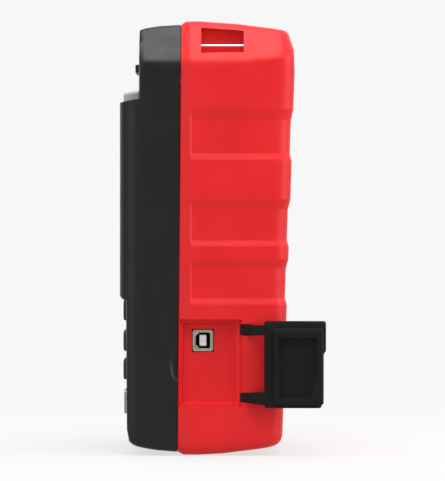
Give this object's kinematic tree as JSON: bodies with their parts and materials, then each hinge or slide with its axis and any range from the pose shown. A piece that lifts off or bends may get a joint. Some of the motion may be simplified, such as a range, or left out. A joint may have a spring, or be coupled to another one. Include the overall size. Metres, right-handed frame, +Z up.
{
  "type": "obd code reader",
  "caption": "Upright handheld vehicle code reader with a black keypad front, a red ribbed back, a side data port under a rubber cover, and a ticket printer.",
  "frame": {"origin": "centre of the flat land on the bottom end, where the reader stands upright", "axes": "+Z up along the length, -Y out of the screen and keys, +X out of the side with the data port"},
  "size_m": [0.1381, 0.1119, 0.2359],
  "materials": {
    "red_plastic": "satin",
    "black_plastic": "satin",
    "black_rubber": "matte",
    "key_rubber": "matte",
    "silver_paint": "satin",
    "steel": "satin",
    "nickel_shell": "polished",
    "window": "gloss",
    "circuit_board": "satin",
    "white_plastic": "satin",
    "paper": "matte"
  },
  "bodies": {
    "casing": {"front_shell": "black_plastic", "rear_shell": "red_plastic", "display_bezel": "silver_paint", "display_window": "window", "lcd_panel": "steel", "keypad_mat": "black_rubber", "key_board": "circuit_board", "badge_plate": "silver_paint", "door_pin": "steel", "print_head": "steel", "paper_bin": "black_plastic", "main_board": "circuit_board", "buzzer": "black_plastic", "port_board": "circuit_board", "usb_shell": "nickel_shell", "usb_tongue": "white_plastic", "dsub_shell": "nickel_shell", "dsub_insulator": "black_plastic", "jack_screw_left": "steel", "jack_screw_right": "steel", "port_strap_upper": "black_rubber", "port_strap_lower": "black_rubber", "lanyard_bar_right": "steel", "lanyard_bar_left": "steel", "case_screw_lower_right": "steel", "case_screw_lower_left": "steel", "case_screw_middle_right": "steel", "case_screw_middle_left": "steel", "case_screw_upper_right": "steel", "case_screw_upper_left": "steel"},
    "printer_door": {"printer_door": "black_plastic"},
    "platen_roller": {"platen_roller": "black_rubber"},
    "paper_roll": {"paper_roll": "paper"},
    "port_cover": {"port_cover": "black_rubber"},
    "key_1_1": {"key_1_1": "key_rubber"},
    "key_1_2": {"key_1_2": "key_rubber"},
    "key_1_3": {"key_1_3": "key_rubber"},
    "key_1_4": {"key_1_4": "key_rubber"},
    "key_2_1": {"key_2_1": "key_rubber"},
    "key_2_2": {"key_2_2": "key_rubber"},
    "key_2_3": {"key_2_3": "key_rubber"},
    "key_2_4": {"key_2_4": "key_rubber"},
    "key_3_1": {"key_3_1": "key_rubber"},
    "key_3_2": {"key_3_2": "key_rubber"},
    "key_3_3": {"key_3_3": "key_rubber"},
    "key_3_4": {"key_3_4": "key_rubber"}
  },
  "joints": [
    {"name": "printer_door_hinge", "type": "hinge", "parent": "casing", "child": "printer_door", "pos_m": [0, -0.0332, 0.225], "axis": [-1, 0, 0], "range_deg": [0, 95]},
    {"name": "platen_spin", "type": "hinge", "parent": "printer_door", "child": "platen_roller", "pos_m": [0, -0.0275, 0.2035], "axis": [1, 0, 0], "continuous": true},
    {"name": "paper_roll_spin", "type": "hinge", "parent": "casing", "child": "paper_roll", "pos_m": [0, -0.01, 0.213], "axis": [1, 0, 0], "continuous": true},
    {"name": "port_cover_fold", "type": "hinge", "parent": "casing", "child": "port_cover", "pos_m": [0.0648, 0.027, 0.0497], "axis": [0.0305, 0, 0.9995], "range_deg": [-178, 0], "deforming": ["port_strap_upper", "port_strap_lower"]},
    {"name": "key_1_1_press", "type": "slide", "parent": "casing", "child": "key_1_1", "axis": [0, 1, 0], "range_m": [0, 0.0009], "stiffness_N_per_m": 300},
    {"name": "key_1_2_press", "type": "slide", "parent": "casing", "child": "key_1_2", "axis": [0, 1, 0], "range_m": [0, 0.0009], "stiffness_N_per_m": 300},
    {"name": "key_1_3_press", "type": "slide", "parent": "casing", "child": "key_1_3", "axis": [0, 1, 0], "range_m": [0, 0.0009], "stiffness_N_per_m": 300},
    {"name": "key_1_4_press", "type": "slide", "parent": "casing", "child": "key_1_4", "axis": [0, 1, 0], "range_m": [0, 0.0009], "stiffness_N_per_m": 300},
    {"name": "key_2_1_press", "type": "slide", "parent": "casing", "child": "key_2_1", "axis": [0, 1, 0], "range_m": [0, 0.0009], "stiffness_N_per_m": 300},
    {"name": "key_2_2_press", "type": "slide", "parent": "casing", "child": "key_2_2", "axis": [0, 1, 0], "range_m": [0, 0.0009], "stiffness_N_per_m": 300},
    {"name": "key_2_3_press", "type": "slide", "parent": "casing", "child": "key_2_3", "axis": [0, 1, 0], "range_m": [0, 0.0009], "stiffness_N_per_m": 300},
    {"name": "key_2_4_press", "type": "slide", "parent": "casing", "child": "key_2_4", "axis": [0, 1, 0], "range_m": [0, 0.0009], "stiffness_N_per_m": 300},
    {"name": "key_3_1_press", "type": "slide", "parent": "casing", "child": "key_3_1", "axis": [0, 1, 0], "range_m": [0, 0.0009], "stiffness_N_per_m": 300},
    {"name": "key_3_2_press", "type": "slide", "parent": "casing", "child": "key_3_2", "axis": [0, 1, 0], "range_m": [0, 0.0009], "stiffness_N_per_m": 300},
    {"name": "key_3_3_press", "type": "slide", "parent": "casing", "child": "key_3_3", "axis": [0, 1, 0], "range_m": [0, 0.0009], "stiffness_N_per_m": 300},
    {"name": "key_3_4_press", "type": "slide", "parent": "casing", "child": "key_3_4", "axis": [0, 1, 0], "range_m": [0, 0.0009], "stiffness_N_per_m": 300}
  ]
}
